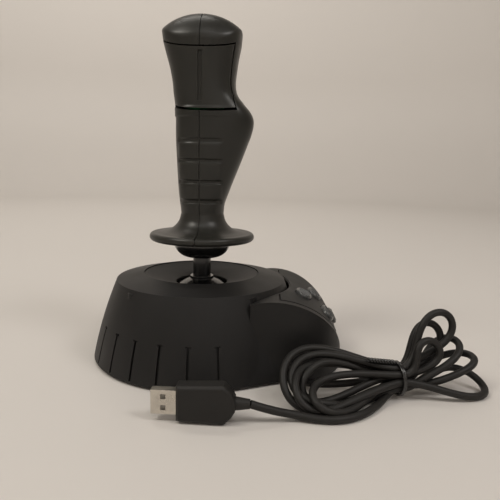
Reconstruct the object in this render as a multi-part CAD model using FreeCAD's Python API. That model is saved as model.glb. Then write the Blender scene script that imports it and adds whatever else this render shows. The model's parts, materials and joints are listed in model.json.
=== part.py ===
"""Flight joystick: a weighted base with a side button pod, a gimballed stick and a twisting grip.

Millimetres. The origin is where the stick's own axis meets the surface that the base stands on.
+Z is up, the user sits on the +Y side and the button pod is on the user's left, at +X.
"""
import FreeCAD, Part
import math
import os

V = FreeCAD.Vector
ORIGIN = V(0, 0, 0)
X, Y, Z = V(1, 0, 0), V(0, 1, 0), V(0, 0, 1)
os.makedirs("parts", exist_ok=True)

# --- driving dimensions: base ---
BOTTOM_RADIUS, BELT_RADIUS, SHOULDER_RADIUS, RIM_RADIUS = 68.0, 62.9, 53.5, 36.6
SHELL_BOTTOM, BELT_HEIGHT, SHOULDER_HEIGHT, RIM_HEIGHT = 1.5, 22.5, 49.5, 53.2
WALL = 2.8
LEDGE_HEIGHT = 49.8
HOLE_RADIUS = 16.5
SLOT_TOP, SLOT_WIDTH, SLOT_DEPTH, SLOT_STEP = 24.6, 1.4, 1.6, 14.5
BAR_HALF, BAR_HEIGHT, BAR_DEPTH = 1.7, 1.1, 0.7   # the cross bar at the top of each slot
SLOT_FIRST, SLOT_COUNT = 286.1, 15            # degrees round from +X, clockwise from the front
PLATE_BOTTOM, PLATE_TOP = 2.0, 4.5
BOSS_RING, BOSS_RADIUS, BOSS_TOP, SCREW_RADIUS = 52.0, 3.6, 47.5, 1.25
BOSS_ANGLES = (50.0, 130.0, 180.0, 230.0, 310.0)
THROTTLE = V(0, 40, 27)                       # pivot of the throttle lever
THROTTLE_SLOT, THROTTLE_PIN = (17.5, 37.0), 1.5

# --- driving dimensions: button pod ---
POD_CENTRE_X, POD_LENGTH, POD_WIDTH, POD_POWER, POD_DRAFT = 42.5, 46.5, 47.5, 2.7, 1.5
POD_START = 34.0
WEB_ANGLE, WEB_TOP = 63.0, 36.0                # where the web leaves the base's side, and its height
ARC_X, ARC_Z, ARC_RADIUS = 47.0, 4.0, 43.0    # the pod's top is a barrel along Y
PANEL_TOP, PANEL_BOTTOM = 43.3, 41.6
TRENCH = 1.8
BUTTON_PLACES = ((65.0, -13.0), (52.5, 8.0), (40.0, -13.0), (27.5, 8.0))   # angle up the arc, Y
BUTTON_LENGTH, BUTTON_WIDTH, BUTTON_TOP = 7.6, 5.3, 45.3
BUTTON_GAP = 0.3
WELL_INNER, WELL_ANGLES, WELL_HALF_Y = 36.0, (15.0, 76.0), 22.5   # the opening behind the panel

# --- driving dimensions: gimbal and shaft ---
PIVOT = 24.0
DOME_RADIUS, DOME_WALL, DOME_ANGLE = 26.0, 1.5, 58.0
RING_OUTER, RING_INNER, RING_HALF = 20.0, 14.5, 4.0
PIN_RADIUS, RUNNING = 2.0, 0.05
SHAFT_RADIUS, SHAFT_BORE, SPINDLE_RADIUS, SPINDLE_TOP = 5.7, 2.8, 5.0, 100.0
HUB_TOP, HUB_BOTTOM, HUB_RADIUS = 73.7, 63.0, 18.0

# --- driving dimensions: grip ---
FLANGE_RADIUS, FLANGE_BOTTOM, FLANGE_TOP = 33.2, 73.9, 78.7
GRIP_WALL = 2.4
SEAM_HALF, SEAM_DEPTH = 0.25, 0.8              # the groove where the two halves meet
HANDLE_BOSSES = ((11.0, 114.0), (12.5, 142.0), (11.0, 172.0))   # Y and height of each screw
BELL = ((78.7, 27.5), (79.9, 22.0), (82.4, 17.8), (86.2, 14.8), (91.0, 13.4))   # height, radius
# height, left, right, front and back reach of the grip from the stick's axis
GRIP = (
    (91.0, 13.4, 13.4, 13.4, 13.4), (97.0, 13.9, 14.0, 14.2, 15.0), (104.0, 14.7, 16.4, 15.0, 16.5),
    (111.0, 15.2, 19.0, 15.8, 18.0), (122.0, 15.8, 23.3, 16.6, 19.5), (133.0, 16.4, 27.4, 17.0, 20.5),
    (141.0, 16.6, 30.2, 17.2, 20.8), (148.0, 16.6, 31.2, 17.2, 20.5), (153.0, 16.7, 29.4, 17.2, 20.0),
    (158.0, 17.2, 25.2, 17.2, 19.6), (163.6, 18.0, 20.9, 17.2, 19.4), (170.0, 18.6, 19.6, 17.3, 20.0),
    (178.0, 20.1, 20.2, 17.8, 22.5), (186.0, 22.3, 21.3, 18.8, 26.0), (193.0, 24.2, 22.6, 20.0, 29.0),
    (200.0, 25.2, 23.1, 21.0, 31.0), (206.0, 25.4, 23.2, 21.5, 31.5), (214.0, 25.4, 23.2, 21.5, 31.5),
)
GRIP_POWER = 2.4
CREST, CREST_Y, CAP_BASE = 209.5, -1.0, 180.0
CAP_HALF_X, CAP_FRONT, CAP_BACK = 33.3, 21.6, 60.0
GROOVE_HEIGHTS, GROOVE_HALF, GROOVE_DEPTH = (135.6, 123.5, 110.8, 99.1), 1.2, 0.65
GROOVE_ACROSS = (-13.4, 13.4)
FACE_POINT, FACE_TILT = V(0, 4, 207), 35.0    # the thumb face slopes down towards the user
PANEL_MID, PANEL_HALF_T, PANEL_HALF_X, PANEL_THICK = 16.5, 13.2, 16.0, 1.6
HAT_T, HAT_DEPTH, HAT_HOLE, HAT_CAP = 10.5, 6.0, 5.6, 7.2
HAT_PIN = 1.2
THUMB_T, THUMB_X, THUMB_HALF_X, THUMB_HALF_T = 21.8, 6.9, 4.3, 3.5

# --- driving dimensions: trigger ---
TRIGGER_LOW, TRIGGER_HIGH = 153.8, 187.2      # at the front of the grip
LOW_SLOPE, HIGH_SLOPE = 0.25, 0.30            # both edges drop towards the front
TRIGGER_REACH = {1: 0.87, -1: 0.95}             # share of the grip's half width, at +X and at -X
TRIGGER_THICK = 2.2
TRIGGER_GROOVE_HALF, TRIGGER_GROOVE_DEPTH, TRIGGER_GROOVE_END = 1.2, 0.5, 158.2
TRIGGER_SIDE_GAP, TRIGGER_LOW_GAP, TRIGGER_HIGH_GAP = 0.6, 1.5, 0.9
TRIGGER_PIVOT = V(0, -4, 182)
TRIGGER_PIN = 1.5
ARM_X = 9.0                                   # the two arms that hang the trigger on its pin

# --- driving dimensions: cable ---
CORD = 2.0                                    # radius
GLAND, GLAND_WAY, GLAND_BORE = V(57.8, -48.5, 8.5), V(0.36, -0.933, 0), 3.3
HANK_START, HANK_TURN = V(58, -72, 0), 15.4   # left end and heading of the tied hank
# along the hank, lowest and highest reach across it, lowest and highest point
HANK = (
    (0.0, -1.0, 6.0, 5.0, 16.0), (6.0, -14.0, 9.5, 0.5, 23.0), (17.0, -23.0, 11.0, 0.5, 29.5),
    (34.0, -17.0, 9.5, 0.5, 25.0), (50.0, -11.0, 8.0, 0.8, 20.5), (61.0, -9.3, 7.7, 1.2, 18.8),
    (67.0, -9.3, 7.7, 1.2, 18.8), (75.0, -13.0, 11.5, 0.5, 34.0), (85.0, -14.5, 13.0, 0.5, 46.0),
    (98.0, -14.0, 12.0, 0.5, 36.0), (108.0, -9.0, 8.0, 0.5, 24.0), (114.0, -5.0, 3.0, 1.0, 9.0),
)
TIE = (61.5, 66.5)
TAIL = (V(37, -95, 10), V(47, -93.5, 6.4), V(58, -90.2, 3.2), V(70, -92.2, 2.2), V(82, -91.4, 2.1),
        V(93, -84.5, 2.1), V(101, -75, 2.2), V(107, -69, 3.4))
PLUG_Y, PLUG_Z = -95.0, 10.0


# --- helpers ---
def save(name, shape):
    """Write one node and report its solids and volume."""
    if not shape.isValid():
        print("INVALID", name)
    shape.exportStep(f"parts/{name}.step")
    box = shape.BoundBox
    print(f"{name:20s} solids {len(shape.Solids):2d} volume {shape.Volume:10.1f} x {box.XMin:7.1f} "
          f"{box.XMax:7.1f} y {box.YMin:7.1f} {box.YMax:7.1f} z {box.ZMin:6.1f} {box.ZMax:6.1f}")


def rod(radius, start, end):
    return Part.makeCylinder(radius, (end - start).Length, start, end - start)


def tube(outer, inner, start, end):
    return rod(outer, start, end).cut(rod(inner, start, end))


def block(x, y, z):
    """A box from three (low, high) pairs."""
    return Part.makeBox(x[1] - x[0], y[1] - y[0], z[1] - z[0], V(x[0], y[0], z[0]))


def outline(points):
    """A closed wire through 3-D points; a pair (through, end) in place of a point is an arc."""
    edges, here = [], points[0]
    for item in list(points[1:]) + [points[0]]:
        if isinstance(item, tuple):
            edges.append(Part.Arc(here, item[0], item[1]).toShape())
            here = item[1]
        elif (item - here).Length > 1e-6:
            edges.append(Part.LineSegment(here, item).toShape())
            here = item
    return Part.Wire(edges)


def radial(point):
    """(radius, height) as a point in the XZ half plane; pairs of pairs stay arcs."""
    if isinstance(point[0], tuple):
        return (V(point[0][0], 0, point[0][1]), V(point[1][0], 0, point[1][1]))
    return V(point[0], 0, point[1])


def turned(points):
    """Revolve a profile of (radius, height) points round the Z axis."""
    return Part.Face(outline([radial(p) for p in points])).revolve(ORIGIN, Z, 360)


def extruded(points, direction):
    return Part.Face(outline(points)).extrude(direction)


def superellipse(z, left, right, front, back, power, centre_x=0.0, steps=32):
    """A smooth closed wire at one height whose four quarters may differ in reach."""
    points = []
    for i in range(steps):
        angle = 2 * math.pi * i / steps
        c, s = math.cos(angle), math.sin(angle)
        x = math.copysign(abs(c) ** (2 / power), c) * (right if c > 0 else left)
        y = math.copysign(abs(s) ** (2 / power), s) * (back if s > 0 else front)
        points.append(V(centre_x + x, y, z))
    curve = Part.BSplineCurve()
    curve.interpolate(points, True)
    return Part.Wire(curve.toShape())


def ellipse_prism(half_x, half_y, low, high, centre=ORIGIN):
    """An upright prism with an elliptical outline; half_x may be smaller or larger than half_y."""
    big, small = max(half_x, half_y), min(half_x, half_y)
    curve = Part.Ellipse(V(0, 0, 0), big, small).toShape()
    if half_y > half_x:
        curve.rotate(ORIGIN, Z, 90)
    face = Part.Face(Part.Wire(curve))
    face.translate(V(centre.x, centre.y, low))
    return face.extrude(V(0, 0, high - low))


def coil(radius, wire, turns, pitch, start, direction):
    """A helical spring from start along direction."""
    helix = Part.makeHelix(pitch, pitch * turns, radius)
    ring = Part.Wire(Part.makeCircle(wire, V(radius, 0, 0), Y))
    spring = Part.Wire(helix.Edges).makePipeShell([ring], True, True)
    spring.Placement = FreeCAD.Placement(start, FreeCAD.Rotation(Z, direction))
    return Part.Solid(spring) if spring.ShapeType != "Solid" else spring


def polar(radius, degrees, z=0.0):
    return V(radius * math.cos(math.radians(degrees)), radius * math.sin(math.radians(degrees)), z)


# --- base ---
def base_profile(inset=0.0, top=0.0):
    """Side of the base as (radius, height) points from the bottom up, moved in and down."""
    return [
        (0.0, SHELL_BOTTOM - inset), (BOTTOM_RADIUS - inset, SHELL_BOTTOM - inset),
        ((BELT_RADIUS - inset, BELT_HEIGHT), (SHOULDER_RADIUS - inset, SHOULDER_HEIGHT - top)),
        (RIM_RADIUS, RIM_HEIGHT - 2 * top), (0.0, RIM_HEIGHT - 2 * top),
    ]


def pod_solid(inset=0.0):
    """The lobe on the +X side: an upright drafted lobe under a barrel top."""
    low, high = SHELL_BOTTOM - inset, 60.0
    grow = POD_DRAFT - inset
    bottom = superellipse(low, POD_LENGTH + grow, POD_LENGTH + grow, POD_WIDTH + grow,
                          POD_WIDTH + grow, POD_POWER, POD_CENTRE_X)
    top = superellipse(high, POD_LENGTH - inset, POD_LENGTH - inset, POD_WIDTH - inset,
                       POD_WIDTH - inset, POD_POWER, POD_CENTRE_X)
    lobe = Part.makeLoft([bottom, top], True, True)
    barrel = rod(ARC_RADIUS - inset, V(ARC_X, -70, ARC_Z), V(ARC_X, 70, ARC_Z))
    barrel = barrel.fuse(block((0, ARC_X), (-70, 70), (low, ARC_Z + 8)))
    keep = block((POD_START + inset, 100), (-70, 70), (low, 60))
    return lobe.common(barrel).common(keep)


def trench_tool():
    """The base's own side grown outwards: it parts the pod's top from the base's wall."""
    return turned([
        (0.0, 42.6), (59.0 + TRENCH - 2.6, 42.6), (SHOULDER_RADIUS + TRENCH, SHOULDER_HEIGHT), (0.0, 60.0)])


def make_webs():
    """Walls that run on from the base's side, tangent to it, and meet the pod's long sides."""
    a = math.radians(WEB_ANGLE)
    start = V(BOTTOM_RADIUS * math.cos(a), -BOTTOM_RADIUS * math.sin(a), SHELL_BOTTOM)
    wall = -(POD_WIDTH + POD_DRAFT - 0.5)
    run = (wall - start.y) / math.cos(a)
    end = V(start.x + run * math.sin(a), wall, SHELL_BOTTOM)
    low = outline([start, end, V(40, -40, SHELL_BOTTOM)])
    high = outline([V(34.0, -46.4, WEB_TOP), V(37.0, -46.2, WEB_TOP), V(36.0, -43.0, WEB_TOP)])
    web = Part.makeLoft([low, high], True, True)
    return web.fuse(web.mirror(ORIGIN, Y))


def slot_tools():
    """Narrow upright slots round the skirt, each with a short cross bar at its top."""
    slots, bars = [], []
    for i in range(SLOT_COUNT):
        slot = block((56.0, 72.0), (-SLOT_WIDTH / 2, SLOT_WIDTH / 2), (0.0, SLOT_TOP))
        bar = block((56.0, 72.0), (-BAR_HALF, BAR_HALF), (SLOT_TOP - BAR_HEIGHT, SLOT_TOP))
        for shape, group in ((slot, slots), (bar, bars)):
            shape.rotate(ORIGIN, Z, SLOT_FIRST - SLOT_STEP * i)
            group.append(shape)
    return Part.makeCompound(slots), Part.makeCompound(bars)


def skirt_band(depth):
    """The outermost layer of the base's side, of one depth."""
    outer = turned(base_profile(-1.0))
    return outer.cut(turned(base_profile(depth)))


def make_base_shell(cavity):
    pod = pod_solid().cut(trench_tool())
    shell = turned(base_profile()).fuse(pod).fuse(make_webs()).removeSplitter()
    shell = shell.cut(cavity)
    shell = shell.cut(rod(RIM_RADIUS, V(0, 0, LEDGE_HEIGHT), V(0, 0, 60)))
    shell = shell.cut(rod(RIM_RADIUS - 3.0, V(0, 0, 40), V(0, 0, 60)))
    shell = shell.cut(panel_pocket()).cut(button_well())
    slots, bars = slot_tools()
    shell = shell.cut(slots.common(skirt_band(SLOT_DEPTH))).cut(bars.common(skirt_band(BAR_DEPTH)))
    shell = shell.cut(block((-1.9, 1.9), (50, 75), THROTTLE_SLOT))
    shell = shell.cut(rod(GLAND_BORE, GLAND - GLAND_WAY * 12, GLAND + GLAND_WAY * 8))
    for angle in BOSS_ANGLES:
        place = polar(BOSS_RING, angle)
        boss = rod(BOSS_RADIUS, place + Z * PLATE_TOP, place + Z * BOSS_TOP)
        shell = shell.fuse(boss.cut(rod(SCREW_RADIUS, place, place + Z * 30)))
    return shell


def make_base_plate(cavity):
    slab = block((-80, 100), (-80, 80), (PLATE_BOTTOM, PLATE_TOP))
    plate = cavity.common(slab)
    for angle in BOSS_ANGLES:
        place = polar(BOSS_RING, angle)
        plate = plate.cut(rod(1.6, place, place + Z * 10))
        plate = plate.cut(rod(3.0, place, place + Z * 3.4))
    for side in (-1, 1):
        lug = block((3.4, 6.0), (37, 43), (PLATE_TOP - 1, THROTTLE.z + 4))
        if side < 0:
            lug = lug.mirror(ORIGIN, X)
        plate = plate.fuse(lug)
    plate = plate.cut(rod(THROTTLE_PIN, THROTTLE - X * 9, THROTTLE + X * 9))
    for x in (55.0, 76.0):
        for y in (-18.0, 18.0):
            plate = plate.fuse(rod(2.5, V(x, y, PLATE_TOP - 1), V(x, y, 12)))
    return plate


def make_feet():
    """A non-slip ring under the base and a pad under the pod."""
    ring = tube(62.5, 55.5, ORIGIN, Z * PLATE_BOTTOM)
    pad = ellipse_prism(3.6, 14.0, 0.0, PLATE_BOTTOM, V(78, 0, 0))
    return Part.makeCompound([ring, pad])


def make_base_screws():
    screws = []
    for angle in BOSS_ANGLES:
        place = polar(BOSS_RING, angle)
        head = rod(2.7, place + Z * 2.1, place + Z * 3.4)
        slot = block((-0.4, 0.4), (-2.0, 2.0), (2.0, 2.7))
        slot.translate(place)
        screws.append(head.fuse(rod(SCREW_RADIUS, place + Z * 3.0, place + Z * 16)).cut(slot))
    return Part.makeCompound(screws)


def make_recess_dish():
    return turned([
        (HOLE_RADIUS, 46.8), (HOLE_RADIUS + 0.6, 47.2), (RIM_RADIUS - 0.25, 52.7),
        (RIM_RADIUS - 0.25, LEDGE_HEIGHT), (RIM_RADIUS - 3.2, LEDGE_HEIGHT), (HOLE_RADIUS, 45.3)])


def make_ballast():
    ring = tube(47.0, 37.5, Z * PLATE_TOP, Z * 9.5)
    return ring.cut(block((-7, 7), (30, 50), (0, 20)))


def make_main_board():
    board = block((50, 81), (-22, 22), (12, 13.6))
    return board.fuse(block((60, 70), (-6, 6), (13.6, 15.6))).fuse(block((52, 56), (-16, -6), (13.6, 19)))


# --- button pod ---
def barrel_sector(inner, outer, low, high, half_y):
    """A slice of the pod's barrel between two radii and two angles."""
    def at(radius, degrees):
        a = math.radians(degrees)
        return V(ARC_X + radius * math.cos(a), -half_y, ARC_Z + radius * math.sin(a))
    middle = (low + high) / 2
    points = [at(inner, low), at(outer, low), (at(outer, middle), at(outer, high)),
              at(inner, high), (at(inner, middle), at(inner, low))]
    edges = [
        Part.LineSegment(points[0], points[1]).toShape(),
        Part.Arc(points[1], points[2][0], points[2][1]).toShape(),
        Part.LineSegment(points[2][1], points[3]).toShape(),
        Part.Arc(points[3], points[4][0], points[4][1]).toShape(),
    ]
    return Part.Face(Part.Wire(edges)).extrude(V(0, 2 * half_y, 0))


def panel_plan(inset):
    reach = POD_LENGTH - 1.2 - inset
    width = POD_WIDTH - 5.5 - inset
    ends = [superellipse(z, reach, reach, width, width, POD_POWER, POD_CENTRE_X) for z in (0.0, 60.0)]
    return Part.makeLoft(ends, True, True)


def panel_inner_edge(gap):
    """The base's side grown outwards: the panel and its pocket stop short of it."""
    shoulder = (SHOULDER_RADIUS + TRENCH + 1.5 + gap, SHOULDER_HEIGHT)
    return turned([(0.0, 30.0), (60.5 + gap, 30.0), shoulder, (0.0, 60.0)])


def panel_pocket():
    pocket = barrel_sector(PANEL_BOTTOM, 50.0, 12.0, 86.0, 60.0)
    return pocket.common(panel_plan(0.0)).cut(panel_inner_edge(0.0))


def button_well():
    """The opening behind the panel that the buttons and their switches look through."""
    return barrel_sector(WELL_INNER, PANEL_BOTTOM + 0.5, *WELL_ANGLES, WELL_HALF_Y)


def button_frame(index):
    """Placement whose +Z points out of the panel at one button; its X runs along the pod's width."""
    angle, y = BUTTON_PLACES[index]
    a = math.radians(angle)
    out = V(math.cos(a), 0, math.sin(a))
    turn = FreeCAD.Rotation(Y, out.cross(Y) * -1, out)
    return FreeCAD.Placement(V(ARC_X, y, ARC_Z), turn)


def placed(shape, placement):
    shape.Placement = placement.multiply(shape.Placement)
    return shape


def make_pod_panel():
    panel = barrel_sector(PANEL_BOTTOM, PANEL_TOP, 12.3, 85.0, 60.0)
    panel = panel.common(panel_plan(0.2)).cut(panel_inner_edge(0.2))
    for i in range(len(BUTTON_PLACES)):
        hole = ellipse_prism(BUTTON_LENGTH + BUTTON_GAP, BUTTON_WIDTH + BUTTON_GAP, 30, 60)
        panel = panel.cut(placed(hole, button_frame(i)))
    return panel


def make_pod_button(index):
    """An oval cap with raised ribs over a hidden flange and a plunger."""
    cap = ellipse_prism(BUTTON_LENGTH, BUTTON_WIDTH, 39.4, BUTTON_TOP)
    rims = [e for e in cap.Edges if e.BoundBox.ZMin > BUTTON_TOP - 0.01]
    cap = cap.makeFillet(1.2, rims)
    cap = cap.fuse(ellipse_prism(BUTTON_LENGTH + 1.0, BUTTON_WIDTH + 1.0, 39.2, 40.6))
    return placed(cap, button_frame(index))


def make_pod_board():
    return barrel_sector(32.0, 33.6, 18.0, 72.0, 21.5)


def make_pod_switches():
    """A tactile switch under each button, all on the pod's board."""
    switches = []
    for i in range(len(BUTTON_PLACES)):
        body = block((-3, 3), (-3, 3), (33.7, 36.4)).fuse(rod(1.7, Z * 36.4, Z * 37.8))
        switches.append(placed(body, button_frame(i)))
    return Part.makeCompound(switches)


# --- throttle ---
def make_throttle_lever():
    hub = rod(4.6, THROTTLE - X * 1.6, THROTTLE + X * 1.6)
    arm = block((-1.6, 1.6), (40, 70.5), (THROTTLE.z - 2.4, THROTTLE.z + 2.4))
    knob = block((-7, 7), (69.0, 74.5), (THROTTLE.z - 4.4, THROTTLE.z + 4.4))
    knob = knob.makeFillet(1.6, knob.Edges)
    lever = hub.fuse(arm).fuse(knob)
    return lever.cut(rod(THROTTLE_PIN + RUNNING, THROTTLE - X * 9, THROTTLE + X * 9))


def make_throttle_pin():
    return rod(THROTTLE_PIN, THROTTLE - X * 6.0, THROTTLE + X * 6.0)


def make_throttle_sensor():
    body = block((6.1, 13.0), (THROTTLE.y - 6, THROTTLE.y + 6), (THROTTLE.z - 6, THROTTLE.z + 6))
    return body.fuse(rod(3.0, THROTTLE + X * 13.0, THROTTLE + X * 14.0))


# --- gimbal ---
def make_gimbal_frame():
    frame = tube(36.5, 26.5, Z * PLATE_TOP, Z * 7.0)
    for side in (-1, 1):
        low, high = sorted((side * 29.0, side * 34.0))
        post = block((low, high), (-7, 7), (6.0, PIVOT + 6)).common(rod(36.5, ORIGIN, Z * 60))
        frame = frame.fuse(post)
    return frame.cut(rod(PIN_RADIUS + RUNNING, V(-40, 0, PIVOT), V(40, 0, PIVOT)))


def make_gimbal_ring():
    centre = Z * PIVOT
    ring = tube(RING_OUTER, RING_INNER, centre - Z * RING_HALF, centre + Z * RING_HALF)
    ring = ring.cut(rod(PIN_RADIUS, centre - X * 40, centre + X * 40))
    return ring.cut(rod(PIN_RADIUS + RUNNING, centre - Y * 40, centre + Y * 40))


def make_pitch_pins():
    """Two stub pins that carry the ring in the frame's posts."""
    return Part.makeCompound([
        rod(PIN_RADIUS, V(side * 15.2, 0, PIVOT), V(side * 33.2, 0, PIVOT)) for side in (-1, 1)])


def make_pitch_sensor():
    return block((-42.5, -34.2), (-6, 6), (PIVOT - 6, PIVOT + 6))


def make_roll_sensor():
    return block((-5, 5), (RING_OUTER + 0.1, 25.6), (PIVOT - 4.5, PIVOT + 4.5))


def make_cradle():
    cradle = block((-7, 7), (-7, 7), (PIVOT - 8, PIVOT + 10))
    cradle = cradle.makeFillet(1.5, [e for e in cradle.Edges if e.BoundBox.ZLength > 10])
    cradle = cradle.cut(rod(SHAFT_RADIUS, Z * (PIVOT + 3), Z * 60))
    return cradle.cut(rod(PIN_RADIUS, V(0, -20, PIVOT), V(0, 20, PIVOT)))


def make_roll_pin():
    return rod(PIN_RADIUS, V(0, -19.4, PIVOT), V(0, 19.4, PIVOT))


def make_dome():
    """The cap that slides under the recess and closes it at every tilt."""
    centre = Z * PIVOT
    edge = PIVOT + DOME_RADIUS * math.cos(math.radians(DOME_ANGLE))
    cap = Part.makeSphere(DOME_RADIUS, centre).cut(Part.makeSphere(DOME_RADIUS - DOME_WALL, centre))
    cap = cap.common(block((-40, 40), (-40, 40), (edge, 80)))
    cap = cap.fuse(tube(SHAFT_RADIUS + 1.8, SHAFT_RADIUS, Z * 45.0, Z * 50.6))
    return cap.cut(rod(SHAFT_RADIUS, Z * 30, Z * 60))


def make_shaft():
    shaft = rod(SHAFT_RADIUS, Z * (PIVOT + 3), Z * (HUB_TOP - 1.0))
    shaft = shaft.fuse(rod(SPINDLE_RADIUS, Z * (HUB_TOP - 2.0), Z * SPINDLE_TOP))
    return shaft.cut(rod(SHAFT_BORE, Z * (PIVOT + 6), Z * 120))


def make_hub():
    hub = turned([
        (0.0, HUB_BOTTOM), (8.5, HUB_BOTTOM), ((15.2, 66.0), (HUB_RADIUS, 71.4)),
        (HUB_RADIUS, HUB_TOP), (0.0, HUB_TOP)])
    hub = hub.cut(rod(SHAFT_RADIUS, Z * 50, Z * (HUB_TOP - 1.0)))
    return hub.cut(rod(SPINDLE_RADIUS, Z * 50, Z * 90))


# --- grip ---
def grip_column(inset, low, high):
    """The grip as a smooth column between two of its section heights, moved in by inset."""
    wires = [superellipse(z, left - inset, right - inset, front - inset, back - inset,
                          2.0 if z < 92 else GRIP_POWER)
             for z, left, right, front, back in GRIP if low <= z <= high]
    return Part.makeLoft(wires, True, False)


def half_ellipsoid(half_x, half_y, half_z, side):
    """Half of an ellipsoid about the crest: side -1 is its front, 1 its back."""
    matrix = FreeCAD.Matrix()
    matrix.scale(half_x, half_y, half_z)
    body = Part.makeSphere(1.0).transformGeometry(matrix)
    body.translate(V(-1.0, CREST_Y, CAP_BASE))
    y = (CREST_Y, 90.0) if side > 0 else (-90.0, CREST_Y)
    return body.common(block((-60, 60), y, (CAP_BASE, 230)))


def head_limit(inset):
    """Everything under the rounded crest and the sloping thumb face."""
    height = CREST - CAP_BASE - inset
    front = half_ellipsoid(CAP_HALF_X - inset, CAP_FRONT - inset, height, -1)
    back = half_ellipsoid(CAP_HALF_X - inset, CAP_BACK, height, 1)
    limit = front.fuse(back).fuse(block((-60, 60), (-60, 90), (60, CAP_BASE)))
    above = block((-80, 80), (-120, 120), (-inset, 100))
    return limit.cut(placed(above, face_frame()))


def face_frame():
    """+Z is the thumb face's outward normal and +Y runs down the face towards the user."""
    return FreeCAD.Placement(FACE_POINT, FreeCAD.Rotation(X, -FACE_TILT))


def make_flange(inset=0.0):
    """The round hand rest and the bell that rises from it into the grip, moved in by inset."""
    low, high, radius = FLANGE_BOTTOM + inset, FLANGE_TOP - inset, FLANGE_RADIUS - inset
    disc = turned([
        (0.0, low), (radius - 2.2 + inset, low), ((radius, (low + high) / 2), (radius - 2.2 + inset, high)),
        (0.0, high)])
    rings = [superellipse(z, r - inset, r - inset, r - inset, r - inset, 2.0) for z, r in BELL]
    rings[0].translate(V(0, 0, -inset))
    return disc.fuse(Part.makeLoft(rings, True, False))


def trigger_side(x_sign, gap):
    """Points up one side border of the trigger, from below it to above it."""
    points = []
    for z, left, right, _, _ in GRIP:
        if 147 < z < 201:
            reach = right if x_sign > 0 else left
            if x_sign > 0 and z < 162:
                reach = 20.9 + (162 - z) * 0.42
            points.append(V(x_sign * (TRIGGER_REACH[x_sign] * reach + gap), -60, z))
    return points


def trigger_region(side_gap=0.0, low_gap=0.0, high_gap=0.0):
    """A block that holds the trigger as seen from the front, grown by the gaps round it."""
    right, left = trigger_side(1, side_gap), trigger_side(-1, side_gap)
    front = extruded(right + left[::-1], V(0, 60, 0))
    low, high = TRIGGER_LOW - low_gap, TRIGGER_HIGH + high_gap
    slab = extruded([
        V(-60, -60, low - LOW_SLOPE * 42), V(-60, 0, low + LOW_SLOPE * 18),
        V(-60, 0, high + HIGH_SLOPE * 20), V(-60, -60, high - HIGH_SLOPE * 40)], V(120, 0, 0))
    return front.common(slab)


def make_trigger(outer):
    skin = outer.common(trigger_region())
    skin = skin.cut(grip_column(TRIGGER_THICK, 91, 214))
    skin = skin.common(block((-40, 40), (-40, -6.5), (140, 200)))
    half, end = TRIGGER_GROOVE_HALF, TRIGGER_GROOVE_END
    groove = block((-half, half), (-40, 0), (end, 200)).fuse(rod(half, V(0, -40, end), V(0, 0, end)))
    skin = skin.cut(groove.cut(grip_column(TRIGGER_GROOVE_DEPTH, 91, 214)))
    inner = grip_column(1.2, 91, 214)
    for x in (-ARM_X, ARM_X):
        arm = extruded([
            V(x - 1.2, -22, 176), V(x - 1.2, -4, 178.6), V(x - 1.2, -0.8, 182),
            V(x - 1.2, -4, 185.2), V(x - 1.2, -22, 182)], X * 2.4)
        skin = skin.fuse(arm.common(inner))
    return skin.cut(rod(TRIGGER_PIN + RUNNING, TRIGGER_PIVOT - X * 30, TRIGGER_PIVOT + X * 30))


def make_handle_halves(outer):
    """Both half shells: flange, grip and head in one moulding a side."""
    cavity = grip_column(GRIP_WALL, 91, 214).common(head_limit(GRIP_WALL))
    body = outer.fuse(make_flange()).cut(cavity)
    body = body.cut(rod(9.0, Z * 60, Z * 92))
    window = trigger_region(TRIGGER_SIDE_GAP, TRIGGER_LOW_GAP, TRIGGER_HIGH_GAP)
    body = body.cut(window.common(block((-60, 60), (-60, -2.0), (140, 200))))
    body = body.cut(placed(panel_outline(0.15, -PANEL_THICK, 30), face_frame()))
    body = body.cut(placed(panel_outline(-0.8, -9.0, 30), face_frame()))
    band = outer.cut(grip_column(GROOVE_DEPTH, 91, 214))
    for z in GROOVE_HEIGHTS:
        groove = band.common(block(GROOVE_ACROSS, (-40, 0), (z - GROOVE_HALF, z + GROOVE_HALF)))
        body = body.cut(groove)
    core = grip_column(SEAM_DEPTH, 91, 214).common(head_limit(SEAM_DEPTH))
    skin = outer.fuse(make_flange()).cut(core).cut(make_flange(SEAM_DEPTH))
    body = body.cut(skin.common(block((-SEAM_HALF, SEAM_HALF), (-60, 90), (60, 230))))
    halves = []
    for side in (-1, 1):
        x = (-60.0, 0.0) if side < 0 else (0.0, 60.0)
        half = body.common(block(x, (-60, 90), (60, 230)))
        for y, z in HANDLE_BOSSES:
            half = half.fuse(rod(3.2, V(0, y, z), V(side * 40, y, z)).common(outer))
        for y, z in HANDLE_BOSSES:
            half = half.cut(rod(SCREW_RADIUS, V(-30, y, z), V(9, y, z)))
            if side < 0:
                half = half.cut(rod(2.9, V(-40, y, z), V(-9, y, z)))
        pin_boss = rod(3.4, TRIGGER_PIVOT + X * side * 11.5, TRIGGER_PIVOT + X * side * 30)
        half = half.fuse(pin_boss.common(outer.cut(window)))
        halves.append(half.cut(rod(TRIGGER_PIN, TRIGGER_PIVOT - X * 15.5, TRIGGER_PIVOT + X * 15.5)))
    return halves


def make_handle_screws():
    return Part.makeCompound([
        rod(2.7, V(-11.0, y, z), V(-9.0, y, z)).fuse(rod(SCREW_RADIUS, V(-9.5, y, z), V(8.5, y, z)))
        for y, z in HANDLE_BOSSES])


def make_twist_bush():
    return tube(8.9, SPINDLE_RADIUS + RUNNING, Z * 74.2, Z * 96.0)


def make_twist_sensor():
    return block((-7, 7), (-7, 7), (SPINDLE_TOP + 0.5, SPINDLE_TOP + 8.0))


def make_head_board():
    return block((-12, 12), (4.6, 6.2), (150, 180))


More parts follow.
